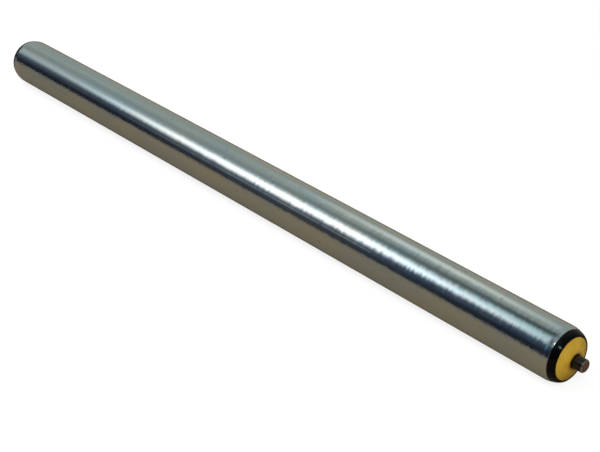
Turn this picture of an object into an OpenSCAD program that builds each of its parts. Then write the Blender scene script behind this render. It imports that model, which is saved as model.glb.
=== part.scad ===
// Conveyor roller: a steel tube that turns on two ball bearings over a spring-loaded spindle.
// The roller lies along X. The spring is at the near end, which is +X.

/* [Tube] */
// Outside diameter of the roller tube
tube_od = 50; // [47:0.5:60]
// Wall of the tube
tube_wall = 1.5; // [1:0.1:2]
// Length of the tube from steel edge to steel edge
tube_len = 796; // [200:1:1600]
// Length over which each tube end is rolled in
curl_len = 6.3; // [5:0.1:8]
// How far each tube end is rolled in, on the radius
curl_drop = 1; // [0.6:0.1:1.4]

/* [Spindle] */
// Diameter of the spindle inside the roller
spindle_d = 12; // [10:0.1:12.6]
// How far the spindle stands out of each seal
spindle_out = 10.2; // [6:0.1:20]
// Width of the relief groove at the mouth of each seal
relief_w = 0.8; // [0.4:0.1:1.4]
// Chamfer at each spindle tip
tip_chamfer = 1; // [0.4:0.1:1.5]

/* [Bearing housings] */
// How far each housing rim stands out of the tube
rim_out = 6.2; // [5:0.1:8]
// Width of the black rim seen from the end
rim_band = 4.4; // [3.8:0.1:5]
// Radius of the rim's convex face, seen in section
rim_bulge = 13; // [11:0.5:20]
// How far the centre of that face lies behind the tube's edge
rim_set_back = 1.8; // [1:0.1:2.5]
// How far the rim starts below the rolled-in steel, on the radius
rim_step = 0.1; // [0:0.05:0.3]
// Rounding at the rim's front edge
rim_corner = 0.9; // [0.4:0.1:1.1]
// How deep each housing reaches into the tube
housing_depth = 22; // [16:0.5:30]
// Wall around the bearing seat
seat_wall = 2.2; // [1.6:0.1:2.6]
// Wall of the sleeve that grips the tube
sleeve_wall = 2.2; // [1.6:0.1:2.6]
// Thickness of the web in front of the rib pockets
web_t = 5; // [3:0.1:7]
// Thickness of the ribs between seat and sleeve
rib_t = 1.6; // [1:0.1:3]
// Number of ribs between seat and sleeve
rib_count = 8; // [3:1:12]

/* [Ball bearings] */
// Bore of the bearing
bearing_bore = 15; // [14.6:0.1:15.6]
// Outside diameter of the bearing
bearing_od = 32; // [31:0.1:33]
// Width of the bearing
bearing_w = 9; // [8.6:0.1:10]
// How far the bearing's front face stands out of the tube's edge
bearing_front = 1; // [0:0.1:2]
// Diameter of the balls
ball_d = 4.762; // [4:0.001:5]
// Number of balls in each bearing
ball_count = 9; // [6:1:9]
// Chamfer at the corners of the races
race_chamfer = 0.3; // [0.1:0.05:0.5]
// Thickness of the sheet shields
shield_t = 0.3; // [0.2:0.05:0.4]
// How far the shields lie inside the faces of the bearing
shield_inset = 0.4; // [0.2:0.05:0.5]
// How deep the shields sit in the outer race, on the radius
shield_lap = 0.5; // [0.3:0.05:0.7]
// Height of the closed side of the ball cage, from the balls' centres
cage_back_h = 3.4; // [3:0.05:3.5]
// Height of the open side of the ball cage, from the balls' centres
cage_front_h = 1.2; // [0.8:0.1:1.8]

/* [Seals] */
// Radius of the domed front face
dome_r = 38; // [34:1:80]
// Wall of the dome and skirt
seal_wall = 1.8; // [1.2:0.1:2.2]
// Rounding of the mouth round the spindle
mouth_lip = 1.2; // [1.1:0.1:2]
// Bore of the collar behind the mouth
collar_bore = 14.6; // [14:0.1:15]
// Wall of the collar
collar_wall = 1.5; // [1:0.1:1.6]
// How far the seal's edge stands proud of the rim
seal_proud = 0.1; // [0:0.05:0.4]
// Thickness of the foot that holds the bearing
foot_t = 1.6; // [1:0.1:2.4]
// How far the foot laps over the outer race
foot_lap = 1.2; // [0.6:0.1:1.8]
// Radius of the bead that snaps into the housing
snap_r = 0.4; // [0.2:0.05:0.5]

/* [Spindle bushes] */
// Radius of the bush flange
flange_r = 10.1; // [9.9:0.05:10.2]
// Thickness of the bush flange
flange_t = 1.6; // [1:0.1:1.8]
// Height of the dust ring above the flange
dust_ring_h = 2.4; // [1:0.1:3]
// Wall of the dust ring
dust_ring_wall = 0.8; // [0.6:0.05:0.9]
// How far each bush stands out behind its bearing
bush_tail = 1.5; // [0.5:0.1:4]

/* [Spring and rings] */
// Length of the spring at rest in the roller
spring_len = 45; // [36:1:90]
// Wire of the spring
wire_d = 1.6; // [1.2:0.1:1.8]
// Mean diameter of the spring's coils
coil_d = 15.4; // [15:0.1:16.4]
// Number of turns of the spring
coil_turns = 11; // [6:1:14]
// Outside diameter of the washers
washer_od = 18; // [16:0.1:22]
// Thickness of the washers
washer_t = 1; // [0.5:0.1:2]
// Thickness of the retaining rings
clip_t = 1; // [0.8:0.1:1.5]
// Width of a retaining ring opposite its gap
clip_w = 2.6; // [2:0.1:3]
// Width of a retaining ring beside its gap
clip_tip_w = 1.8; // [1.2:0.1:2]
// Radius of a retaining ring's ears
clip_ear_r = 1.7; // [1.4:0.1:2]
// Radius of the holes in the ears
clip_hole_r = 0.8; // [0.5:0.1:1]
// Depth of the ring grooves in the spindle
groove_depth = 0.25; // [0.2:0.05:0.5]

/* [Fits] */
// Gap on the radius between parts pressed together
press_gap = 0.02; // [0.01:0.01:0.04]
// Gap on the radius between spindle and bush
slide_gap = 0.08; // [0.05:0.01:0.1]
// Gap between seal and bush
seal_gap = 0.3; // [0.25:0.05:0.4]
// Gap on the radius between the seal's mouth and the spindle
mouth_gap = 0.35; // [0.3:0.05:0.6]
// Gap between balls and races
ball_gap = 0.05; // [0.03:0.01:0.06]
// Gap between balls and cage pockets
pocket_gap = 0.12; // [0.06:0.01:0.2]
// Gap between the far washer and its ring, where the spindle stops
stop_gap = 0.05; // [0.02:0.01:0.3]
// Gap on the radius between washers and spindle
washer_gap = 0.1; // [0.05:0.01:0.3]
// Gap on each side of a retaining ring in its groove
groove_gap = 0.05; // [0.02:0.01:0.1]
// Gap between the ball cage and the races
cage_gap = 0.4; // [0.3:0.05:0.6]
// Gap on the radius between the bearing's shoulder and the bore behind it
rear_bore_gap = 0.2; // [0.1:0.05:0.5]
// Gap between a seal's mouth and the relief groove's far edge
relief_gap = 0.1; // [0.05:0.05:0.3]

/* [Hidden] */
$fn = 96;

// The two ends, as the direction they face along X.
near = 1;
far = -1;

// How far shapes that are joined run into each other.
join_lap = 1;

// Sections are drawn as [radius, height]. Height 0 is the tube's steel edge, and it grows outwards.
tube_r = tube_od / 2;
tube_bore_r = tube_r - tube_wall;
tube_end = tube_len / 2;
curl_r = (curl_len * curl_len + curl_drop * curl_drop) / (2 * curl_drop);
curl_centre = [tube_r - curl_r, -curl_len];
curl_mid_r = curl_r - tube_wall / 2;
curl_angle = asin((curl_len - tube_wall / 2) / curl_mid_r);

// Housing rim: a convex face that starts flush with the rolled-in steel.
rim_edge_r = tube_r - curl_drop - rim_step;
rim_centre = [rim_edge_r - sqrt(pow(rim_bulge, 2) - pow(rim_set_back, 2)), -rim_set_back];
rim_corner_h = rim_out - rim_corner;
rim_corner_r = rim_centre[0]
    + sqrt(pow(rim_bulge - rim_corner, 2) - pow(rim_corner_h + rim_set_back, 2));
housing_r = tube_bore_r - press_gap;

// Bearing
bearing_back = bearing_front - bearing_w;
bearing_mid = bearing_front - bearing_w / 2;
seat_r = bearing_od / 2 + press_gap;
race_r = bearing_od / 2;
pitch_r = (bearing_od + bearing_bore) / 4;
ball_r = ball_d / 2;
shoulder_share = 0.7;
inner_shoulder_r = pitch_r - shoulder_share * ball_r;
outer_shoulder_r = pitch_r + shoulder_share * ball_r;
shield_seat_r = outer_shoulder_r + shield_lap;
rear_bore_r = outer_shoulder_r + rear_bore_gap;

// Seal
seal_r = rim_edge_r - rim_band;
seal_edge_h = rim_out + seal_proud;
dome_centre = [0, seal_edge_h - sqrt(pow(dome_r, 2) - pow(seal_r, 2))];
spindle_r = spindle_d / 2;
mouth_r = spindle_r + mouth_gap;
lip_centre = [mouth_r + mouth_lip,
              dome_centre[1] + sqrt(pow(dome_r - mouth_lip, 2) - pow(mouth_r + mouth_lip, 2))];
lip_angle = asin(lip_centre[0] / (dome_r - mouth_lip));
mouth_front = lip_centre[1] + mouth_lip;
collar_r = collar_bore / 2;
foot_r = race_r - foot_lap;
snap_h = bearing_front + foot_t;

// Bush
bush_bore_r = spindle_r + slide_gap;
bush_r = bearing_bore / 2 - press_gap;
bush_back = bearing_back - bush_tail;
flange_front = bearing_front + flange_t;
nose_r = collar_r - seal_gap;
nose_front = lip_centre[1] - mouth_lip - seal_gap;
collar_back = flange_front + seal_gap;

// Spindle
spindle_tip = mouth_front + spindle_out;
relief_front = mouth_front + relief_gap;
groove_r = spindle_r - groove_depth;

// Washers, rings and spring, by the height of each one's outer face
washer_front = bush_back;
spring_front = washer_front - washer_t;
stop_washer_front = spring_front - spring_len;
spring_clip_front = stop_washer_front - washer_t;
far_clip_front = washer_front - washer_t - stop_gap;
clip_bore_r = groove_r + press_gap;
clip_gap_angle = 50;
clip_ear_angle = 39;
clip_ear_pitch_r = clip_bore_r + clip_ear_r;
clip_shift = (clip_w - clip_tip_w) / 2;

// Places the children at one end of the tube, pointing outwards.
module at_end(side) {
  rotate([0, 0, side == near ? 0 : 180])
    translate([tube_end, 0, 0])
      rotate([0, 90, 0])
        children();
}

// A rectangular section between two radii and two heights.
module band(inner, outer, low, high) {
  translate([inner, low])
    square([outer - inner, high - low]);
}

// A band with its four corners cut at 45 degrees.
module chamfered_band(inner, outer, low, high, cut) {
  polygon([[inner + cut, low], [outer - cut, low], [outer, low + cut], [outer, high - cut],
           [outer - cut, high], [inner + cut, high], [inner, high - cut], [inner, low + cut]]);
}

// A plane wedge from a centre, between two directions measured from the radius axis.
module wedge(centre, from_angle, to_angle, reach) {
  translate(centre)
    polygon([[0, 0],
             reach * [cos(from_angle), sin(from_angle)],
             reach * [cos(to_angle), sin(to_angle)]]);
}

// Tube: thin wall, rolled in at each end to a rounded lip.
// One half of its outline, solid to the axis, at a depth under the outer skin.
module tube_outline(depth) {
  band(0, tube_r - depth, -join_lap, tube_end - curl_len);
  translate([0, tube_end])
    intersection() {
      translate(curl_centre)
        circle(r = curl_r - depth);
      band(0, tube_r - depth, -curl_len - join_lap, curl_len);
    }
}

module half_tube_section() {
  difference() {
    tube_outline(0);
    tube_outline(tube_wall);
    translate([0, tube_end])
      wedge(curl_centre, curl_angle, 90, 3 * curl_r);
  }
  translate([0, tube_end])
    translate(curl_centre + curl_mid_r * [cos(curl_angle), sin(curl_angle)])
      circle(d = tube_wall);
}

module tube() {
  color([0.62, 0.65, 0.66])
    rotate([0, 90, 0])
      rotate_extrude() {
        half_tube_section();
        mirror([0, 1])
          half_tube_section();
      }
}

// Spindle: drawn rod with chamfered tips, a groove for each retaining ring and a narrow
// relief groove at the mouth of each seal.
module spindle_half() {
  translate([0, 0, -join_lap])
    cylinder(r = spindle_r, h = join_lap + tube_end + spindle_tip - tip_chamfer);
  translate([0, 0, tube_end + spindle_tip - tip_chamfer])
    cylinder(r1 = spindle_r, r2 = spindle_r - tip_chamfer, h = tip_chamfer);
}

module groove(front, width) {
  rotate_extrude()
    band(groove_r, 2 * spindle_r, front - width, front);
}

module spindle() {
  color([0.12, 0.11, 0.1])
    difference() {
      union() {
        rotate([0, 90, 0])
          spindle_half();
        rotate([0, -90, 0])
          spindle_half();
      }
      at_end(near)
        groove(spring_clip_front + groove_gap, clip_t + 2 * groove_gap);
      at_end(far)
        groove(far_clip_front + groove_gap, clip_t + 2 * groove_gap);
      at_end(near)
        groove(relief_front, relief_w);
      at_end(far)
        groove(relief_front, relief_w);
    }
}

// Housing: sleeve in the tube, seat for the bearing, recess for the seal and a convex rim.
module housing_outline() {
  band(0, housing_r, -housing_depth, -curl_len);
  intersection() {
    translate(curl_centre)
      circle(r = curl_r - tube_wall - press_gap);
    band(0, housing_r, -curl_len - join_lap, rim_out / 2);
  }
  intersection() {
    translate(rim_centre)
      circle(r = rim_bulge);
    band(0, tube_r, press_gap, rim_out);
    wedge(rim_centre, 0, atan2(rim_corner_h - rim_centre[1], rim_corner_r - rim_centre[0]), 3 * tube_r);
  }
  translate([rim_corner_r, rim_corner_h])
    circle(r = rim_corner);
  band(0, rim_corner_r, press_gap, rim_out);
}

module housing_section() {
  difference() {
    housing_outline();
    band(0, rear_bore_r, -housing_depth, rim_out);
    band(0, seat_r, bearing_back, rim_out);
    band(0, seal_r + press_gap, bearing_front, rim_out);
    translate([seal_r, snap_h])
      circle(r = snap_r + press_gap);
  }
}

module rib_pockets() {
  floor_h = bearing_front - web_t;
  pocket_in = seat_r + seat_wall;
  pocket_out = housing_r - sleeve_wall;
  difference() {
    rotate_extrude()
      band(pocket_in, pocket_out, -housing_depth, floor_h);
    for (i = [0 : rib_count - 1])
      rotate([0, 0, i * 360 / rib_count])
        translate([pocket_in - join_lap, -rib_t / 2, -housing_depth])
          cube([pocket_out - pocket_in + 2 * join_lap, rib_t, housing_depth + floor_h]);
  }
}

module housing(side) {
  color([0.03, 0.03, 0.035])
    at_end(side)
      difference() {
        rotate_extrude()
          housing_section();
        rib_pockets();
      }
}

// Seal: domed cap with a rounded mouth, a collar round the bush and a foot on the bearing.
module seal_section() {
  difference() {
    intersection() {
      translate(dome_centre)
        circle(r = dome_r);
      wedge(dome_centre, 0, 90 - lip_angle, 3 * dome_r);
      band(0, seal_r, bearing_front, mouth_front + join_lap);
    }
    intersection() {
      translate(dome_centre)
        circle(r = dome_r - seal_wall);
      band(0, seal_r - seal_wall, bearing_front + foot_t, mouth_front);
    }
    band(0, foot_r, bearing_front, bearing_front + foot_t + join_lap);
  }
  translate(lip_centre)
    circle(r = mouth_lip);
  band(collar_r, collar_r + collar_wall, collar_back, lip_centre[1]);
  translate([seal_r, snap_h])
    circle(r = snap_r);
}

module seal(side) {
  color([0.8, 0.62, 0.13])
    at_end(side)
      rotate_extrude()
        seal_section();
}

// Bush: carries the inner race on the spindle, with a dust ring and a nose in the seal's collar.
module bush_section() {
  band(bush_bore_r, bush_r, bush_back, flange_front);
  band(bush_bore_r, flange_r, bearing_front, flange_front);
  band(flange_r - dust_ring_wall, flange_r, bearing_front, flange_front + dust_ring_h);
  band(bush_bore_r, nose_r, bearing_front, nose_front);
}

module bush(side) {
  color([0.05, 0.05, 0.05])
    at_end(side)
      rotate_extrude()
        bush_section();
}

// Deep-groove ball bearing
module groove_circle() {
  translate([pitch_r, bearing_mid])
    circle(r = ball_r + ball_gap);
}

module outer_race(side) {
  color([0.72, 0.72, 0.73])
    at_end(side)
      rotate_extrude()
        difference() {
          chamfered_band(outer_shoulder_r, race_r, bearing_back, bearing_front, race_chamfer);
          groove_circle();
          band(0, shield_seat_r, bearing_front - shield_inset - shield_t, bearing_front);
          band(0, shield_seat_r, bearing_back, bearing_back + shield_inset + shield_t);
        }
}

module inner_race(side) {
  color([0.72, 0.72, 0.73])
    at_end(side)
      rotate_extrude()
        difference() {
          chamfered_band(bearing_bore / 2, inner_shoulder_r, bearing_back, bearing_front, race_chamfer);
          groove_circle();
        }
}

module ball_positions() {
  for (i = [0 : ball_count - 1])
    rotate([0, 0, i * 360 / ball_count])
      translate([pitch_r, 0, bearing_mid])
        children();
}

module balls(side) {
  color([0.8, 0.8, 0.82])
    at_end(side)
      ball_positions()
        sphere(r = ball_r);
}

module ball_cage(side) {
  color([0.75, 0.7, 0.58])
    at_end(side)
      difference() {
        rotate_extrude()
          band(inner_shoulder_r + cage_gap, outer_shoulder_r - cage_gap,
               bearing_mid - cage_back_h, bearing_mid + cage_front_h);
        ball_positions()
          sphere(r = ball_r + pocket_gap);
      }
}

// Sheet shield, pressed into the outer race and clear of the inner one.
module shield(side, low) {
  color([0.6, 0.6, 0.6])
    at_end(side)
      rotate_extrude()
        band(inner_shoulder_r + seal_gap, shield_seat_r - press_gap, low, low + shield_t);
}

module front_shield(side) {
  shield(side, bearing_front - shield_inset - shield_t);
}

module back_shield(side) {
  shield(side, bearing_back + shield_inset);
}

// Washers and retaining rings on the spindle
module washer(side, front) {
  color([0.6, 0.6, 0.58])
    at_end(side)
      rotate_extrude()
        band(spindle_r + washer_gap, washer_od / 2, front - washer_t, front);
}

module clip_ear_places() {
  for (turn = [-1, 1])
    rotate(turn * clip_ear_angle)
      translate([clip_ear_pitch_r, 0])
        children();
}

module clip_outline() {
  difference() {
    union() {
      difference() {
        translate([-clip_shift, 0])
          circle(r = clip_bore_r + (clip_w + clip_tip_w) / 2);
        wedge([0, 0], -clip_gap_angle / 2, clip_gap_angle / 2, 3 * spindle_d);
      }
      clip_ear_places()
        circle(r = clip_ear_r);
    }
    circle(r = clip_bore_r);
    clip_ear_places()
      circle(r = clip_hole_r);
  }
}

module clip(side, front) {
  color([0.2, 0.2, 0.21])
    at_end(side)
      translate([0, 0, front - clip_t])
        linear_extrude(clip_t)
          clip_outline();
}

// Compression spring with one closed turn at each end, wound as a swept ring of points.
spring_steps = 18;
wire_sides = 8;
closed_pitch = 1.05 * wire_d;
open_pitch = (spring_len - wire_d - 2 * closed_pitch) / (coil_turns - 2);

function coil_height(turn) =
  turn < 1 ? wire_d / 2 + turn * closed_pitch
  : turn > coil_turns - 1 ? spring_len - wire_d / 2 - (coil_turns - turn) * closed_pitch
  : wire_d / 2 + closed_pitch + (turn - 1) * open_pitch;

function wire_point(step, corner) =
  let (turn = step / spring_steps,
       across = coil_d / 2 + wire_d / 2 * cos(corner * 360 / wire_sides),
       up = coil_height(turn) + wire_d / 2 * sin(corner * 360 / wire_sides))
  [across * cos(turn * 360), across * sin(turn * 360), up];

module spring() {
  last = coil_turns * spring_steps;
  points = [for (step = [0 : last]) for (corner = [0 : wire_sides - 1]) wire_point(step, corner)];
  sides = [for (step = [0 : last - 1]) for (corner = [0 : wire_sides - 1])
             let (a = step * wire_sides + corner,
                  b = step * wire_sides + (corner + 1) % wire_sides)
             each [[a, b, b + wire_sides], [a, b + wire_sides, a + wire_sides]]];
  first_cap = [for (corner = [wire_sides - 1 : -1 : 0]) corner];
  last_cap = [for (corner = [0 : wire_sides - 1]) last * wire_sides + corner];
  color([0.45, 0.45, 0.46])
    at_end(near)
      translate([0, 0, spring_front - spring_len])
        polyhedron(points = points, faces = concat(sides, [first_cap, last_cap]));
}

tube();
spindle();
housing(near);  // near_housing
housing(far);  // far_housing
seal(near);  // near_seal
seal(far);  // far_seal
bush(near);  // near_bush
bush(far);  // far_bush
outer_race(near);  // near_outer_race
outer_race(far);  // far_outer_race
inner_race(near);  // near_inner_race
inner_race(far);  // far_inner_race
balls(near);  // near_balls
balls(far);  // far_balls
ball_cage(near);  // near_ball_cage
ball_cage(far);  // far_ball_cage
front_shield(near);  // near_front_shield
back_shield(near);  // near_back_shield
front_shield(far);  // far_front_shield
back_shield(far);  // far_back_shield
spring();
washer(near, washer_front);  // spring_seat_washer
washer(near, stop_washer_front);  // spring_stop_washer
clip(near, spring_clip_front);  // spring_stop_ring
washer(far, washer_front);  // far_thrust_washer
clip(far, far_clip_front);  // far_stop_ring
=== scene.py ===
import math

import bmesh
import bpy
from mathutils import Matrix, Vector


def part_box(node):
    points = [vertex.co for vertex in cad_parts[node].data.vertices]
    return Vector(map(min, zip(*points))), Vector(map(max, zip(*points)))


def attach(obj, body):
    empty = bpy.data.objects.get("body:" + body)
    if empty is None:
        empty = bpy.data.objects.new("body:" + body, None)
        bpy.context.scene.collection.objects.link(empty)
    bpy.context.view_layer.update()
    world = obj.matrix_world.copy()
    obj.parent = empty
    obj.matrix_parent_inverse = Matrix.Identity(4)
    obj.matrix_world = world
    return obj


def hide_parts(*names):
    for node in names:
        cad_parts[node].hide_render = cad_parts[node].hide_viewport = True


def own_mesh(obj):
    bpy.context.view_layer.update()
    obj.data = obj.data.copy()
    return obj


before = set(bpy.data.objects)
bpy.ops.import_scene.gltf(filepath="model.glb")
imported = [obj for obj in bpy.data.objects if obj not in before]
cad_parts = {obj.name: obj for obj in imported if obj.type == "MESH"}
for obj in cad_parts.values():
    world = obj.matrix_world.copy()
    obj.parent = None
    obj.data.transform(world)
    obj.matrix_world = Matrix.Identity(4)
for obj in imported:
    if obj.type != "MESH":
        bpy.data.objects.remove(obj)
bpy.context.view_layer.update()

MM = 0.001

# ---------------------------------------------------------------------------
# Camera. It stands beyond the near end of the roller, a little above it, with a long lens,
# so that the near end comes forward and the tube runs away to the far end.
# ---------------------------------------------------------------------------
camera_azimuth = math.radians(48.047)
camera_height = math.radians(30.496)
camera_distance = 1.3277
camera_aim = Vector((0.0984, -0.0216, 0.0))

camera = bpy.data.objects.new("camera", bpy.data.cameras.new("camera"))
camera.data.sensor_width = 36
camera.data.lens = 84.42
away = Vector((
    math.sin(camera_azimuth) * math.cos(camera_height),
    -math.cos(camera_azimuth) * math.cos(camera_height),
    math.sin(camera_height),
))
camera.location = camera_aim + camera_distance * away
camera.rotation_euler = away.to_track_quat("Z", "Y").to_euler()
bpy.context.scene.collection.objects.link(camera)
bpy.context.scene.camera = camera
bpy.context.scene.view_settings.view_transform = "Standard"

# ---------------------------------------------------------------------------
# Studio. The roller lies on a plain white floor under soft lamps. Bright zinc shows whatever
# stands round it, so a tunnel and a mat that only reflections see stand for the room: a pale
# side, a long soft lamp overhead, a dark side and a dull brown table.
# ---------------------------------------------------------------------------
floor_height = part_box("tube")[0].z
floor_half = 15.0
tunnel_radius = 1.6
tunnel_length = 14.0


def linear(hex_colour):
    """An sRGB hex colour as linear red, green, blue and alpha."""
    channels = [int(hex_colour[i:i + 2], 16) / 255 for i in (1, 3, 5)]
    return [c / 12.92 if c <= 0.04045 else ((c + 0.055) / 1.055) ** 2.4 for c in channels] + [1]


def node(tree, kind, inputs={}, stops=(), **settings):
    """Adds a shader node. Each input is a plain value or the output that feeds it."""
    made = tree.nodes.new("ShaderNode" + kind)
    for name, value in settings.items():
        setattr(made, name, value)
    for i, (position, hex_colour) in enumerate(stops):
        elements = made.color_ramp.elements
        stop = elements[i] if i < 2 else elements.new(position)
        stop.position, stop.color = position, linear(hex_colour)
    for name, value in inputs.items():
        if isinstance(value, bpy.types.NodeSocket):
            tree.links.new(value, made.inputs[name])
        else:
            made.inputs[name].default_value = value
    return made


def empty_material(name):
    made = bpy.data.materials.new(name)
    made.use_nodes = True
    made.node_tree.nodes.clear()
    return made


def seen_or_mirrored(tree):
    """1 for what the camera, metal or glass sees, and 0 for what only lights the object."""
    path = node(tree, "LightPath").outputs
    seen = node(tree, "Math", {0: path["Is Camera Ray"], 1: path["Is Glossy Ray"]}, operation="MAXIMUM")
    return node(tree, "Math", {0: seen.outputs[0], 1: path["Is Transmission Ray"]},
                operation="MAXIMUM").outputs[0]


def stand_in_room(piece, mirrored_only=False):
    bpy.context.scene.collection.objects.link(piece)
    if mirrored_only:
        for ray in ("camera", "diffuse", "transmission", "volume_scatter", "shadow"):
            setattr(piece, "visible_" + ray, False)


# White floor: three parts plain white to one part lit paint, which keeps the roller's shadow.
# The light that it throws back on the roller is that of a brown table.
white_floor = empty_material("white_floor")
tree = white_floor.node_tree
seen = seen_or_mirrored(tree)
colour = node(tree, "MixRGB", {0: seen, 1: linear("#877B66"), 2: linear("#EEEEEC")})
paint = node(tree, "BsdfDiffuse", {"Color": colour.outputs[0]})
white = node(tree, "Emission", {"Color": linear("#FFFFFF"), "Strength": 1.12})
share = node(tree, "Math", {0: seen, 1: 0.75}, operation="MULTIPLY")
mixed = node(tree, "MixShader", {0: share.outputs[0], 1: paint.outputs[0], 2: white.outputs[0]})
node(tree, "OutputMaterial", {"Surface": mixed.outputs[0]})


def flat_sheet(name, x_range, y_range, height, material):
    mesh = bpy.data.meshes.new(name)
    corners = [(0, 0), (1, 0), (1, 1), (0, 1)]
    mesh.from_pydata([(x_range[i], y_range[j], height) for i, j in corners], [], [(0, 1, 2, 3)])
    mesh.materials.append(material)
    return bpy.data.objects.new(name, mesh)


floor_span = (-floor_half, floor_half)
stand_in_room(flat_sheet("floor", floor_span, floor_span, floor_height, white_floor))

# Brown table, as the underside of the tube mirrors it, a greyer mat beyond the near end, and
# the dark ground past the table's edge.
table_edge = -0.45
table_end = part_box("near_seal")[0].x
for name, hex_colour, x_range, y_range in (
    ("mirrored_table", "#8B826F", (-tunnel_length / 2, table_end), (table_edge, tunnel_radius)),
    ("mirrored_mat", "#85796C", (table_end, tunnel_length / 2), (table_edge, tunnel_radius)),
    ("mirrored_ground", "#20242C", (-tunnel_length / 2, tunnel_length / 2), (-tunnel_radius, table_edge)),
):
    paint = empty_material(name + "_paint")
    matt = node(paint.node_tree, "BsdfDiffuse", {"Color": linear(hex_colour)})
    node(paint.node_tree, "OutputMaterial", {"Surface": matt.outputs[0]})
    stand_in_room(flat_sheet(name, x_range, y_range, floor_height + 0.2 * MM, paint), mirrored_only=True)

# Room round the roller: its colours run from the pale side, over the top, to the dark side.
room_colours = [
    (0.00, "#AFAB9C"), (1.00, "#26282E"), (0.06, "#A2A399"), (0.17, "#A1ACA7"), (0.36, "#A7B5B2"),
    (0.45, "#95A2A0"), (0.51, "#94A1A2"), (0.56, "#A2B0B1"), (0.61, "#B4C2C4"), (0.67, "#B4C1C4"),
    (0.72, "#95A4A8"), (0.77, "#4E5E6A"), (0.82, "#37465A"), (0.88, "#222C3A"), (0.95, "#20242C"),
]
room = empty_material("studio_room")
tree = room.node_tree
place = node(tree, "SeparateXYZ", {0: node(tree, "TexCoord").outputs["Object"]}).outputs
turn = node(tree, "Math", {0: place["Z"], 1: place["Y"]}, operation="ARCTAN2")
turn = node(tree, "Math", {0: turn.outputs[0], 1: math.pi}, operation="DIVIDE")
walls = node(tree, "ValToRGB", {0: turn.outputs[0]}, stops=room_colours)


def soft_oval(across, along, half_across, half_along, strength):
    """A soft oval on the tunnel, at a share of the turn over the roller and a place along it."""
    where = node(tree, "CombineXYZ", {"X": place["X"], "Y": turn.outputs[0]})
    where = node(tree, "VectorMath", {0: where.outputs[0], 1: (along, across, 0)}, operation="SUBTRACT")
    where = node(tree, "VectorMath", {0: where.outputs[0], 1: (half_along, half_across, 1)},
                 operation="DIVIDE")
    oval = node(tree, "TexGradient", {0: where.outputs[0]}, gradient_type="SPHERICAL")
    return node(tree, "MapRange", {"Value": oval.outputs[1], "To Max": strength},
                interpolation_type="SMOOTHSTEP").outputs[0]


def glow(hex_colour, *oval):
    return node(tree, "Emission", {"Color": linear(hex_colour), "Strength": soft_oval(*oval)}).outputs[0]


# The room has a dark stretch beyond the near end, and two darker beams hang over the roller.
dark_stretch = 1.7
dark_reach = (0.6, 1.2)
darkest = 0.3
apart = node(tree, "Math", {0: place["X"], 1: dark_stretch}, operation="SUBTRACT")
apart = node(tree, "Math", {0: apart.outputs[0]}, operation="ABSOLUTE")
fade = node(tree, "MapRange", {"Value": apart.outputs[0], "From Min": dark_reach[0],
                               "From Max": dark_reach[1], "To Min": darkest, "To Max": 1.0})
level = fade.outputs[0]
for beam in (soft_oval(0.5, -0.4, 0.1, 1.2, 0.8), soft_oval(0.66, 0.05, 0.14, 0.4, 0.8)):
    beam = node(tree, "Math", {0: 1.0, 1: beam}, operation="SUBTRACT")
    level = node(tree, "Math", {0: level, 1: beam.outputs[0]}, operation="MULTIPLY").outputs[0]
lights = node(tree, "Emission", {"Color": walls.outputs[0], "Strength": level}).outputs[0]
for lamp in (
    glow("#F6FBFF", 0.682, -1.27, 0.13, 1.08, 2.1),  # long lamp overhead
    glow("#D8ECFF", 0.85, -1.3, 0.16, 0.8, 0.09),    # its haze on the dark side
    glow("#FFFFFF", 0.27, -0.85, 0.12, 0.6, 0.5),    # small lamp on the pale side
    glow("#89F2FF", 0.61, -0.56, 0.09, 0.2, 0.33),   # cool fringe of the long lamp
    glow("#A8E4FF", 0.8, -0.2, 0.12, 0.2, 0.4),      # thin lamp over the near end
    glow("#FFFFFF", 0.67, 1.3, 0.035, 0.7, 14.0),    # spot beyond the near end
    glow("#FFC850", 0.83, -2.6, 0.12, 1.0, 0.02),    # warm haze past the far end
):
    lights = node(tree, "AddShader", {0: lights, 1: lamp}).outputs[0]
node(tree, "OutputMaterial", {"Surface": lights})

# The tunnel that carries the room. Its two end walls are as dark as the ground.
tunnel_steps = 60
tunnel = bpy.data.meshes.new("mirrored_room")
turns = [math.pi * i / tunnel_steps for i in range(tunnel_steps + 1)]
tunnel_ends = [tuple(range(len(turns))), tuple(range(len(turns), 2 * len(turns)))]
tunnel.from_pydata(
    [(x, tunnel_radius * math.cos(a), tunnel_radius * math.sin(a))
     for x in (-tunnel_length / 2, tunnel_length / 2) for a in turns], [],
    [(i, i + 1, len(turns) + i + 1, len(turns) + i) for i in range(tunnel_steps)] + tunnel_ends)
tunnel.materials.append(room)
tunnel.materials.append(paint)
for end_wall in tunnel.polygons[-2:]:
    end_wall.material_index = 1
stand_in_room(bpy.data.objects.new("mirrored_room", tunnel), mirrored_only=True)

# White world, with a soft even light of its own on the object.
world = bpy.data.worlds.new("studio")
world.use_nodes = True
bpy.context.scene.world = world
tree = world.node_tree
tree.nodes.clear()
backdrop = node(tree, "Background", {"Color": linear("#FFFFFF"), "Strength": 1.0})
soft_light = node(tree, "Background", {"Color": linear("#F4F8FF"), "Strength": 0.52})
sky = node(tree, "MixShader", {0: seen_or_mirrored(tree), 1: soft_light.outputs[0], 2: backdrop.outputs[0]})
node(tree, "OutputWorld", {"Surface": sky.outputs[0]})


def soft_lamp(name, location, aim, width, length, watts, hex_colour):
    lamp = bpy.data.lights.new(name, "AREA")
    lamp.shape = "RECTANGLE"
    lamp.size = length
    lamp.size_y = width
    lamp.energy = watts
    lamp.color = linear(hex_colour)[:3]
    made = bpy.data.objects.new(name, lamp)
    made.location = location
    made.rotation_euler = (Vector(location) - Vector(aim)).to_track_quat("Z", "Y").to_euler()
    made.visible_camera = False
    made.visible_glossy = False
    bpy.context.scene.collection.objects.link(made)


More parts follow.
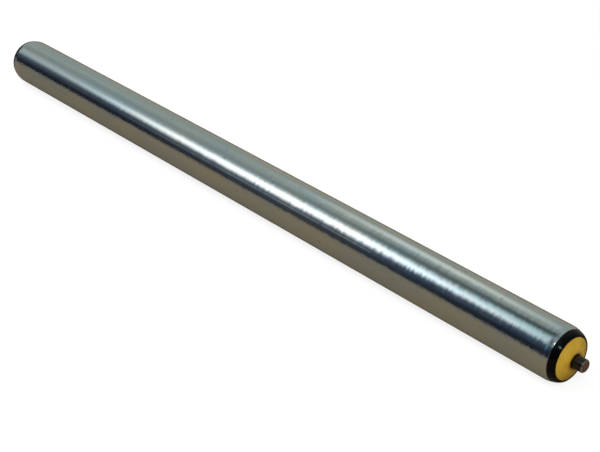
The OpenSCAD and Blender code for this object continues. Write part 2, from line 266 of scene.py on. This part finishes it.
soft_lamp("overhead_lamp", (-0.45, -0.55, 1.25), (0.1, 0, 0), 0.3, 1.2, 9, "#FFFFFF")
soft_lamp("end_lamp", (1.1, -0.75, 1.1), (0.4, 0, 0), 0.4, 0.4, 10, "#FFFAF2")

# ---------------------------------------------------------------------------
# Tube. A welded steel tube, drawn to size, with both ends rolled in over the housings and
# then zinc plated. It carries the load and turns with the housings inside it.
# ---------------------------------------------------------------------------
tube_end = round(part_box("tube")[1].x / MM, 2)
tube_r = round(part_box("tube")[1].z / MM, 2)
tube_wall = 1.5
curl_len = 6.3
curl_drop = 1.0
curl_r = (curl_len ** 2 + curl_drop ** 2) / (2 * curl_drop)
curl_centre = (tube_r - curl_r, -curl_len)
lip_r = tube_wall / 2
curl_angle = math.degrees(math.asin((curl_len - lip_r) / (curl_r - lip_r)))
sharp_from = 40        # degrees between faces from which an edge shows as sharp
merge_within = 0.0001  # corners nearer than this, in mm, are one, such as those on the axis


def arc(centre, radius, start, end, steps):
    """Points on an arc, with angles in degrees from the radius axis."""
    angles = [math.radians(start + (end - start) * i / steps) for i in range(steps + 1)]
    return [(centre[0] + radius * math.cos(a), centre[1] + radius * math.sin(a)) for a in angles]


def broken_edges(outline, radius, steps=4):
    """Rounds each sharp corner of a closed outline off the axis, as a moulded or turned edge is."""
    softened = []
    for before, here, after in zip(outline[-1:] + outline[:-1], outline, outline[1:] + outline[:1]):
        here, into, out = Vector(here), Vector(before) - Vector(here), Vector(after) - Vector(here)
        bend = math.pi - into.angle(out)
        on_axis = here.x == 0
        if on_axis or bend < math.radians(25):
            softened.append(tuple(here))
            continue
        reach = min(radius * math.tan(bend / 2), 0.45 * into.length, 0.45 * out.length)
        start, end = here + reach * into.normalized(), here + reach * out.normalized()
        for i in range(steps + 1):
            t = i / steps
            softened.append(tuple((1 - t) ** 2 * start + 2 * t * (1 - t) * here + t ** 2 * end))
    return softened


def turned(name, outline, start=0.0, side=1, around=192):
    """Turns a closed outline of (radius, height) in mm about the roller's axis."""
    mesh = bpy.data.meshes.new(name)
    shape = bmesh.new()
    rings = []
    for i in range(around):
        angle = 2 * math.pi * i / around
        rings.append([shape.verts.new((
            side * (start + height) * MM,
            radius * MM * math.cos(angle),
            radius * MM * math.sin(angle),
        )) for radius, height in outline])
    for here, after in zip(rings, rings[1:] + rings[:1]):
        for i in range(len(outline)):
            j = (i + 1) % len(outline)
            shape.faces.new((here[i], here[j], after[j], after[i]))
    bmesh.ops.remove_doubles(shape, verts=shape.verts, dist=merge_within * MM)
    bmesh.ops.recalc_face_normals(shape, faces=shape.faces)
    shape.to_mesh(mesh)
    shape.free()
    mesh.shade_smooth()
    mesh.set_sharp_from_angle(angle=math.radians(sharp_from))
    made = bpy.data.objects.new(name, mesh)
    made.modifiers.new("flat faces stay flat", "WEIGHTED_NORMAL").keep_sharp = True
    bpy.context.scene.collection.objects.link(made)
    return made


def dress(piece, material, slot, body, *nodes):
    """Gives a piece its finish and its body, and hides the CAD nodes that it stands for."""
    piece.data.materials.append(material)
    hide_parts(*nodes)
    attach(piece, body)


curl = arc(curl_centre, curl_r, 0, curl_angle, 12)
lip_centre = (curl_centre[0] + (curl_r - lip_r) * math.cos(math.radians(curl_angle)),
              curl_centre[1] + (curl_r - lip_r) * math.sin(math.radians(curl_angle)))
lip = arc(lip_centre, lip_r, curl_angle, curl_angle + 180, 12)[1:-1]
inner_curl = arc(curl_centre, curl_r - tube_wall, curl_angle, 0, 12)
tube_half = [(r, tube_end + h) for r, h in curl + lip + inner_curl]
tube = turned("tube_shell", tube_half + [(r, -h) for r, h in reversed(tube_half)], around=256)

def marks(*sizes):
    """Pattern scales for marks of these sizes in mm: one for each axis, or one for all."""
    scales = [1 / (size * MM) for size in sizes]
    return scales if len(scales) > 1 else scales[0]


# Bright zinc plating over ground steel. To the eye it is a soft mirror: the edges of what it
# mirrors are frayed by the grinding marks that run round the tube, and it has fine scratches
# along it, a blue and straw bloom and a few dull specks. The dressed weld is a thin paler line.
# Real grinding marks are under 0.1 mm apart. They are drawn 0.5 mm apart, so that they show. From
# one place to the other in grinding_fade, in mm along the tube, they deepen from light to full.
seam_angle = math.radians(147)
seam_width = 0.7
seam_tilt = 0.12
grinding_tilt = 0.06
grinding_fade = (-350, 100)
lightest_grinding = 0.25
grinding_marks = marks(0.5, 12.5, 12.5)
scratch_marks = marks(200, 2.38, 2.38)
bloom_marks = marks(111, 29.4, 29.4)
speck_marks = marks(4.76)
zinc = empty_material("bright_zinc_plating")
tree = zinc.node_tree
spot = node(tree, "TexCoord").outputs["Object"]
ground = node(tree, "Mapping", {"Vector": spot, "Scale": grinding_marks})
ground = node(tree, "TexNoise", {"Vector": ground.outputs[0], "Scale": 1.0, "Detail": 2.0,
                                 "Roughness": 0.6})
scratched = node(tree, "Mapping", {"Vector": spot, "Scale": scratch_marks})
scratched = node(tree, "TexNoise", {"Vector": scratched.outputs[0], "Scale": 1.0, "Detail": 3.0})
drifting = node(tree, "Mapping", {"Vector": spot, "Location": (1.7, 0, 0), "Scale": bloom_marks})
bloom = node(tree, "TexNoise", {"Vector": drifting.outputs[0], "Scale": 1.0, "Detail": 3.0,
                                "Roughness": 0.6})
tint = node(tree, "ValToRGB", {0: bloom.outputs[0]}, stops=[(0.36, "#C1CDD2"), (0.64, "#D2D0C9")])
speck = node(tree, "TexNoise", {"Vector": spot, "Scale": speck_marks, "Detail": 1.0})
speck = node(tree, "MapRange", {"Value": speck.outputs[0], "From Min": 0.7, "From Max": 0.76,
                                "To Min": 1.0, "To Max": 0.7})
shade = node(tree, "MapRange", {"Value": scratched.outputs[0], "From Min": 0.3, "From Max": 0.7,
                                "To Min": 0.95, "To Max": 1.04})
shade = node(tree, "Math", {0: shade.outputs[0], 1: speck.outputs[0]}, operation="MULTIPLY")
sheen = node(tree, "MapRange", {"Value": ground.outputs[0], "From Min": 0.3, "From Max": 0.7,
                                "To Min": 1.04, "To Max": 0.95})
shade = node(tree, "Math", {0: shade.outputs[0], 1: sheen.outputs[0]}, operation="MULTIPLY")
colour = node(tree, "VectorMath", {0: tint.outputs[0], 1: shade.outputs[0]}, operation="MULTIPLY")
across = node(tree, "SeparateXYZ", {0: spot}).outputs
seam = node(tree, "Math", {0: across["Z"], 1: across["Y"]}, operation="ARCTAN2")
seam = node(tree, "Math", {0: seam.outputs[0], 1: seam_angle}, operation="SUBTRACT")
seam = node(tree, "Math", {0: seam.outputs[0]}, operation="ABSOLUTE")
seam = node(tree, "MapRange", {"Value": seam.outputs[0], "From Max": seam_width / tube_r,
                               "To Min": 1.0, "To Max": 0.0})
broken = node(tree, "MapRange", {"Value": bloom.outputs[0], "From Min": 0.44, "From Max": 0.56})
seam = node(tree, "Math", {0: seam.outputs[0], 1: broken.outputs[0]}, operation="MULTIPLY")
polish = node(tree, "MapRange", {"Value": ground.outputs[0], "From Min": 0.45, "From Max": 0.7,
                                 "To Min": 0.13, "To Max": 0.2})
relief = node(tree, "Bump", {"Height": scratched.outputs[0], "Strength": 0.1, "Distance": 0.1 * MM})
tilt = node(tree, "MapRange", {"Value": ground.outputs[0], "From Min": 0.3, "From Max": 0.7,
                               "To Min": -grinding_tilt, "To Max": grinding_tilt})
depth = node(tree, "MapRange", {"Value": across["X"], "From Min": grinding_fade[0] * MM,
                                "From Max": grinding_fade[1] * MM, "To Min": lightest_grinding})
tilt = node(tree, "Math", {0: tilt.outputs[0], 1: depth.outputs[0]}, operation="MULTIPLY")
seam = node(tree, "Math", {0: seam.outputs[0], 1: seam_tilt}, operation="MULTIPLY")
tilt = node(tree, "Math", {0: tilt.outputs[0], 1: seam.outputs[0]}, operation="SUBTRACT")
turnwise = node(tree, "VectorMath", {0: (1, 0, 0), 1: relief.outputs[0]}, operation="CROSS_PRODUCT")
turnwise = node(tree, "VectorMath", {0: turnwise.outputs[0], 1: tilt.outputs[0]}, operation="MULTIPLY")
facing = node(tree, "VectorMath", {0: relief.outputs[0], 1: turnwise.outputs[0]}, operation="ADD")
surface = node(tree, "BsdfPrincipled", {
    "Base Color": colour.outputs[0], "Metallic": 1.0, "Roughness": polish.outputs[0],
    "Normal": node(tree, "VectorMath", {0: facing.outputs[0]}, operation="NORMALIZE").outputs[0]})
node(tree, "OutputMaterial", {"Surface": surface.outputs[0]})
dress(tube, zinc, "zinc_steel", "roller_shell", "tube")

# ---------------------------------------------------------------------------
# Spindle. A round bar of bright-drawn steel, dark with its oil film, with chamfered tips, two
# grooves for the retaining rings and a narrow relief groove at the mouth of each seal.
# ---------------------------------------------------------------------------
spindle_r = 6.0
spindle_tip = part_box("spindle")[1].x / MM
tip_chamfer = 1.0
groove_r = 5.75
far_ring_groove = (-387.5, -386.4)
near_ring_groove = (340.45, 341.55)
seal_front = 10.902
relief_groove = (tube_end + seal_front - 0.7, tube_end + seal_front + 0.1)
end_face_from = (0.2, 0.05)  # the end face's tone starts and is full this far inside the tip


def grooved(low, high):
    """A groove across the bar, from low to high along it."""
    return [(spindle_r, low), (groove_r, low), (groove_r, high), (spindle_r, high)]


spindle_outline = [(0.0, -spindle_tip), (spindle_r - tip_chamfer, -spindle_tip),
                   (spindle_r, tip_chamfer - spindle_tip)]
spindle_outline += grooved(-relief_groove[1], -relief_groove[0]) + grooved(*far_ring_groove)
spindle_outline += grooved(*near_ring_groove) + grooved(*relief_groove)
spindle_outline += [(spindle_r, spindle_tip - tip_chamfer), (spindle_r - tip_chamfer, spindle_tip),
                    (0.0, spindle_tip)]
spindle = turned("spindle_bar", broken_edges(spindle_outline, 0.4), around=96)

# Bright-drawn steel under an oil film: a dark brown metal with soft highlights and faint draw
# lines along it, and paler where the lathe has cut the chamfer and the end face. The chamfer is
# painted paler still than the end face, as a painted highlight round the tip. Real draw lines
# are about 0.05 mm apart. They are drawn 0.67 mm apart, so that they show.
bar = empty_material("oiled_drawn_steel")
tree = bar.node_tree
spot = node(tree, "TexCoord").outputs["Object"]
drawn = node(tree, "Mapping", {"Vector": spot, "Scale": marks(25, 0.67, 0.67)})
lines = node(tree, "TexNoise", {"Vector": drawn.outputs[0], "Scale": 1.0, "Detail": 3.0})
shade = node(tree, "ValToRGB", {0: lines.outputs[0]}, stops=[(0.3, "#2C2825"), (0.7, "#5C554E")])
along = node(tree, "SeparateXYZ", {0: spot}).outputs["X"]
along = node(tree, "Math", {0: along}, operation="ABSOLUTE")
chamfer = node(tree, "MapRange", {"Value": along.outputs[0], "From Min": (spindle_tip - tip_chamfer) * MM,
                                  "From Max": (spindle_tip - 0.6 * tip_chamfer) * MM})
face = node(tree, "MapRange", {"Value": along.outputs[0],
                               "From Min": (spindle_tip - end_face_from[0]) * MM,
                               "From Max": (spindle_tip - end_face_from[1]) * MM})
# The chamfer's pale tone is partly cut steel and partly a painted highlight round the tip.
tone = node(tree, "MixRGB", {0: chamfer.outputs[0], 1: shade.outputs[0], 2: linear("#C9B8AC")})
tone = node(tree, "MixRGB", {0: face.outputs[0], 1: tone.outputs[0], 2: linear("#947C6E")})
polish = node(tree, "MapRange", {"Value": lines.outputs[0], "To Min": 0.28, "To Max": 0.42})
surface = node(tree, "BsdfPrincipled", {
    "Base Color": tone.outputs[0], "Metallic": 1.0, "Roughness": polish.outputs[0]})
node(tree, "OutputMaterial", {"Surface": surface.outputs[0]})
dress(spindle, bar, "dark_steel", "spindle", "spindle")

# ---------------------------------------------------------------------------
# Housings. One black nylon moulding in each end of the tube: a sleeve held by the rolled-in
# steel, a seat for the bearing carried on ribs, and a convex rim that stands out of the tube.
# ---------------------------------------------------------------------------
press_gap = 0.02
housing_r = tube_r - tube_wall - press_gap
housing_back = -22.0
rim_out = 6.2
rim_bulge = 13.0
rim_centre = (11.0252, -1.8)
rim_corner = 0.9
rim_corner_centre = (20.8229, rim_out - rim_corner)
recess_r = 19.52
seat_r = 16.02
seat_back = -8.0
bearing_front = 1.0
rear_bore_r = 13.6167
pocket = (18.22, 21.28)
pocket_floor = -4.0
rib_t = 1.6
rib_count = 8
snap_h = 2.6
snap_r = 0.42

grip = arc(curl_centre, curl_r - tube_wall - press_gap, 0,
           math.degrees(math.asin((curl_len + press_gap) / (curl_r - tube_wall - press_gap))), 10)
face_start = math.degrees(math.asin((press_gap - rim_centre[1]) / rim_bulge))
face_end = math.degrees(math.atan2(rim_corner_centre[1] - rim_centre[1],
                                   rim_corner_centre[0] - rim_centre[0]))
rim_face = arc(rim_centre, rim_bulge, face_start, face_end, 16)
rim_round = arc(rim_corner_centre, rim_corner, face_end, 90, 8)[1:]
snap_bead = arc((recess_r - 0.02, snap_h), snap_r, 87, -87, 8)
housing_outline = [(housing_r, housing_back)] + grip + rim_face + rim_round + [(recess_r, rim_out)]
housing_outline += snap_bead
housing_outline += [(recess_r, bearing_front), (seat_r, bearing_front), (seat_r, seat_back),
                    (rear_bore_r, seat_back), (rear_bore_r, housing_back),
                    (pocket[0], housing_back), (pocket[0], pocket_floor),
                    (pocket[1], pocket_floor), (pocket[1], housing_back)]


def add_ribs(piece, side):
    """Joins the radial ribs between the bearing seat and the sleeve."""
    shape = bmesh.new()
    shape.from_mesh(piece.data)
    depth = pocket_floor - housing_back
    reach = pocket[1] - pocket[0] + 1
    middle = tube_end + housing_back + depth / 2
    for i in range(rib_count):
        size = Matrix.Diagonal((depth * MM, reach * MM, rib_t * MM, 1))
        out = Matrix.Translation((side * middle * MM, sum(pocket) / 2 * MM, 0))
        turn_to = Matrix.Rotation(2 * math.pi * i / rib_count, 4, "X")
        bmesh.ops.create_cube(shape, size=1, matrix=turn_to @ out @ size)
    shape.to_mesh(piece.data)
    shape.free()
    piece.data.shade_smooth()
    piece.data.set_sharp_from_angle(angle=math.radians(sharp_from))


# Glossy black nylon: deep black with narrow bright reflections, a little uneven where the
# moulding flowed and shrank.
nylon = empty_material("glossy_black_nylon")
tree = nylon.node_tree
spot = node(tree, "TexCoord").outputs["Object"]
flow = node(tree, "TexNoise", {"Vector": spot, "Scale": marks(5.6), "Detail": 2.0})
polish = node(tree, "MapRange", {"Value": flow.outputs[0], "To Min": 0.07, "To Max": 0.13})
relief = node(tree, "Bump", {"Height": flow.outputs[0], "Strength": 0.1, "Distance": 0.1 * MM})
surface = node(tree, "BsdfPrincipled", {
    "Base Color": linear("#050506"), "Roughness": polish.outputs[0], "IOR": 1.53,
    "Specular IOR Level": 0.13, "Normal": relief.outputs[0]})
node(tree, "OutputMaterial", {"Surface": surface.outputs[0]})
for end, side in (("near", 1), ("far", -1)):
    housing = turned(end + "_housing_moulding", broken_edges(housing_outline, 0.2), tube_end, side)
    add_ribs(housing, side)
    dress(housing, nylon, "black_polyamide", "roller_shell", end + "_housing")

# ---------------------------------------------------------------------------
# Seals. A yellow polypropylene cap snapped into each housing: a shallow dome with a rounded
# mouth round the spindle, a collar behind the mouth and a foot that keeps the bearing in.
# ---------------------------------------------------------------------------
seal_r = 19.5
seal_edge = 6.3
dome_r = 38.0
seal_wall = 1.8
dome_centre = (0.0, seal_edge - math.sqrt(dome_r ** 2 - seal_r ** 2))
mouth_r = 6.35
mouth_lip = 1.2
mouth_centre = (mouth_r + mouth_lip,
                dome_centre[1] + math.sqrt((dome_r - mouth_lip) ** 2 - (mouth_r + mouth_lip) ** 2))
collar = (7.3, 8.8)
collar_back = 2.9
foot_r = 14.8
foot_top = 2.6
mouth_shade_ring = (0.5, 4.0)  # the painted shade fades out from one to the other, outside the mouth

mouth_angle = math.degrees(math.acos(mouth_centre[0] / (dome_r - mouth_lip)))
dome = arc(dome_centre, dome_r, math.degrees(math.acos(seal_r / dome_r)), mouth_angle, 20)
mouth = arc(mouth_centre, mouth_lip, mouth_angle,
            180 + math.degrees(math.acos((mouth_centre[0] - collar[0]) / mouth_lip)), 16)[1:]
inner_r = dome_r - seal_wall
under = arc(dome_centre, inner_r, math.degrees(math.acos(collar[1] / inner_r)),
            math.degrees(math.acos((seal_r - seal_wall) / inner_r)), 12)
seal_outline = [(seal_r, bearing_front)]
seal_outline += arc((seal_r, snap_h), 0.4, -90, 90, 8)
seal_outline += dome + mouth + [(collar[0], collar_back), (collar[1], collar_back)] + under
seal_outline += [(seal_r - seal_wall, foot_top), (foot_r, foot_top), (foot_r, bearing_front)]

# Yellow polypropylene: a waxy, satin warm yellow, faintly clouded, with painted shade round the mouth.
# A moulded skin's grain is about 0.05 mm. It is drawn at 0.4 mm, so that it shows.
yellow = empty_material("yellow_polypropylene")
tree = yellow.node_tree
spot = node(tree, "TexCoord").outputs["Object"]
cloud = node(tree, "TexNoise", {"Vector": spot, "Scale": marks(11.1), "Detail": 3.0})
shade = node(tree, "ValToRGB", {0: cloud.outputs[0]}, stops=[(0.35, "#C89E2A"), (0.65, "#DAB138")])
from_axis = node(tree, "VectorMath", {0: spot, 1: (0, 1, 1)}, operation="MULTIPLY")
from_axis = node(tree, "VectorMath", {0: from_axis.outputs[0]}, operation="LENGTH")
# Painted shade: the yellow darkens towards the mouth, where the spindle shades it.
mouth_shade = node(tree, "MapRange", {"Value": from_axis.outputs[1], "From Min": (mouth_r + mouth_shade_ring[0]) * MM,
                                "From Max": (mouth_r + mouth_shade_ring[1]) * MM,
                                "To Min": 0.55, "To Max": 1.0},
             interpolation_type="SMOOTHSTEP")
shade = node(tree, "VectorMath", {0: shade.outputs[0], 1: mouth_shade.outputs[0]}, operation="MULTIPLY")
grain = node(tree, "TexNoise", {"Vector": spot, "Scale": marks(0.4), "Detail": 2.0})
relief = node(tree, "Bump", {"Height": grain.outputs[0], "Strength": 0.15, "Distance": 0.03 * MM})
surface = node(tree, "BsdfPrincipled", {
    "Base Color": shade.outputs[0], "Roughness": 0.4, "IOR": 1.49, "Specular IOR Level": 0.45,
    "Normal": relief.outputs[0]})
node(tree, "OutputMaterial", {"Surface": surface.outputs[0]})
for end, side in (("near", 1), ("far", -1)):
    seal = turned(end + "_seal_cap", broken_edges(seal_outline, 0.25), tube_end, side)
    dress(seal, yellow, "yellow_polypropylene", "roller_shell", end + "_seal")

# ---------------------------------------------------------------------------
# Bushes. A dark plastic bush carries each inner race on the spindle; its nose shows as the
# dark ring in the seal's mouth, and its dust ring keeps dirt from the bearing.
# ---------------------------------------------------------------------------
bush_bore_r = 6.08
bush_r = 7.48
bush_back = -9.5
flange = (10.1, 2.6)
dust_ring = (9.3, 5.0)
nose = (7.0, mouth_centre[1] - mouth_lip - 0.3)
bush_outline = [(bush_bore_r, bush_back), (bush_r, bush_back), (bush_r, bearing_front),
                (flange[0], bearing_front), (flange[0], dust_ring[1]), (dust_ring[0], dust_ring[1]),
                (dust_ring[0], flange[1]), (nose[0], flange[1]), nose, (bush_bore_r, nose[1])]

# Dull black nylon: dark and lightless, greyed by the dust that sits on its grease.
dull_black = empty_material("dull_black_nylon")
tree = dull_black.node_tree
spot = node(tree, "TexCoord").outputs["Object"]
dust = node(tree, "TexNoise", {"Vector": spot, "Scale": marks(3.33), "Detail": 3.0})
shade = node(tree, "ValToRGB", {0: dust.outputs[0]}, stops=[(0.0, "#26221C"), (1.0, "#3A342A")])
surface = node(tree, "BsdfPrincipled", {"Base Color": shade.outputs[0], "Roughness": 0.5, "IOR": 1.53})
node(tree, "OutputMaterial", {"Surface": surface.outputs[0]})
for end, side in (("near", 1), ("far", -1)):
    bush = turned(end + "_bush_moulding", broken_edges(bush_outline, 0.15), tube_end, side, 128)
    dress(bush, dull_black, "bush_polyamide", "bearing_core", end + "_bush")

# ---------------------------------------------------------------------------
# Bearings. A shielded deep-groove ball bearing in each housing: ground races, balls in a
# moulded cage, and a pressed sheet shield on each side.
# ---------------------------------------------------------------------------
def finish_solid(material, slot, *nodes):
    """Gives the finish to CAD pieces that are shown as they are."""
    for name in nodes:
        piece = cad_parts[name]
        piece.data.materials.clear()
        piece.data.materials.append(material)


def worked_metal(name, dark, light, low, high, mark_size):
    """Bare metal whose tone and polish wander a little over marks of this size in mm."""
    made = empty_material(name)
    tree = made.node_tree
    spot = node(tree, "TexCoord").outputs["Object"]
    worn = node(tree, "TexNoise", {"Vector": spot, "Scale": marks(mark_size), "Detail": 4.0,
                                   "Roughness": 0.6})
    tone = node(tree, "ValToRGB", {0: worn.outputs[0]}, stops=[(0.3, dark), (0.7, light)])
    polish = node(tree, "MapRange", {"Value": worn.outputs[0], "To Min": low, "To Max": high})
    relief = node(tree, "Bump", {"Height": worn.outputs[0], "Strength": 0.1, "Distance": 0.05 * MM})
    surface = node(tree, "BsdfPrincipled", {
        "Base Color": tone.outputs[0], "Metallic": 1.0, "Roughness": polish.outputs[0],
        "Normal": relief.outputs[0]})
    node(tree, "OutputMaterial", {"Surface": surface.outputs[0]})
    return made


# The marks on the metals from here on are several times coarser than real ones, so that they
# show. Ground bearing steel is clean and bright, with a slight grey haze.
finish_solid(worked_metal("ground_bearing_steel", "#B9BBBD", "#CBCCCD", 0.16, 0.28, 1.4), "bearing_steel",
             "near_outer_race", "far_outer_race", "near_inner_race", "far_inner_race")

# Polished ball steel: the brightest metal here, and a clear mirror.
finish_solid(worked_metal("polished_ball_steel", "#D2D3D6", "#DCDDE0", 0.05, 0.09, 3.3), "ball_steel",
             "near_balls", "far_balls")

# Pressed sheet steel: greyer and duller, with a rolled grain.
finish_solid(worked_metal("pressed_shield_steel", "#A5A6A6", "#BDBEBD", 0.28, 0.42, 0.8), "shield_steel",
             "near_front_shield", "near_back_shield", "far_front_shield", "far_back_shield")

# Natural nylon: creamy and slightly see-through, mottled by the grease on it.
cage = empty_material("natural_nylon")
tree = cage.node_tree
spot = node(tree, "TexCoord").outputs["Object"]
grease = node(tree, "TexNoise", {"Vector": spot, "Scale": marks(2.5), "Detail": 3.0})
shade = node(tree, "ValToRGB", {0: grease.outputs[0]}, stops=[(0.3, "#CFC4A0"), (0.7, "#E2D9BC")])
surface = node(tree, "BsdfPrincipled", {
    "Base Color": shade.outputs[0], "Roughness": 0.4, "IOR": 1.53,
    "Subsurface Weight": 0.1, "Subsurface Scale": 0.5 * MM})
node(tree, "OutputMaterial", {"Surface": surface.outputs[0]})
finish_solid(cage, "cage_polyamide", "near_ball_cage", "far_ball_cage")

# ---------------------------------------------------------------------------
# Spring, washers and rings. Behind the near bearing a compression spring holds the spindle out;
# plated washers spread its load, and spring-steel rings in the spindle's grooves stop them.
# ---------------------------------------------------------------------------
spring_back = 342.5
spring_len = 45.0
wire_r = 0.8
coil_r = 7.7
coil_turns = 11
closed_pitch = 1.68
open_pitch = (spring_len - 2 * wire_r - 2 * closed_pitch) / (coil_turns - 2)
steps_a_turn = 64
wire_corners = 16


def coil_height(turn):
    """Height of the wire's middle: one closed turn at each end, open turns between."""
    if turn < 1:
        return wire_r + turn * closed_pitch
    if turn > coil_turns - 1:
        return spring_len - wire_r - (coil_turns - turn) * closed_pitch
    return wire_r + closed_pitch + (turn - 1) * open_pitch


mesh = bpy.data.meshes.new("spring_coil")
shape = bmesh.new()
rings = []
for step in range(coil_turns * steps_a_turn + 1):
    turn = step / steps_a_turn
    angle = 2 * math.pi * turn
    rings.append([])
    for corner in range(wire_corners):
        around = 2 * math.pi * corner / wire_corners
        across = coil_r + wire_r * math.cos(around)
        along = spring_back + coil_height(turn) + wire_r * math.sin(around)
        rings[-1].append(shape.verts.new((
            along * MM, across * MM * math.cos(angle), across * MM * math.sin(angle))))
for here, after in zip(rings, rings[1:]):
    for i in range(wire_corners):
        j = (i + 1) % wire_corners
        shape.faces.new((here[i], here[j], after[j], after[i]))
shape.faces.new(rings[0])
shape.faces.new(rings[-1])
bmesh.ops.recalc_face_normals(shape, faces=shape.faces)
shape.to_mesh(mesh)
shape.free()
mesh.shade_smooth()
mesh.set_sharp_from_angle(angle=math.radians(sharp_from))
spring = bpy.data.objects.new("spring_coil", mesh)
bpy.context.scene.collection.objects.link(spring)

# Oiled spring wire: dark grey, with fine marks from the coiling machine.
dress(spring, worked_metal("oiled_spring_wire", "#6E6E70", "#8A8A8C", 0.25, 0.4, 1.1), "spring_steel",
      "spindle", "spring")
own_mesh(spring)

# Zinc-plated washers: pale, with a light straw bloom.
finish_solid(worked_metal("zinc_plated_washers", "#A9ABA4", "#C0C2BA", 0.25, 0.38, 2.0), "washer_steel",
             "spring_seat_washer", "spring_stop_washer", "far_thrust_washer")

# Phosphated rings: a dark, dull crystal coat.
finish_solid(worked_metal("phosphated_ring_steel", "#4A4A4D", "#5F5F62", 0.4, 0.55, 0.7), "ring_steel",
             "spring_stop_ring", "far_stop_ring")
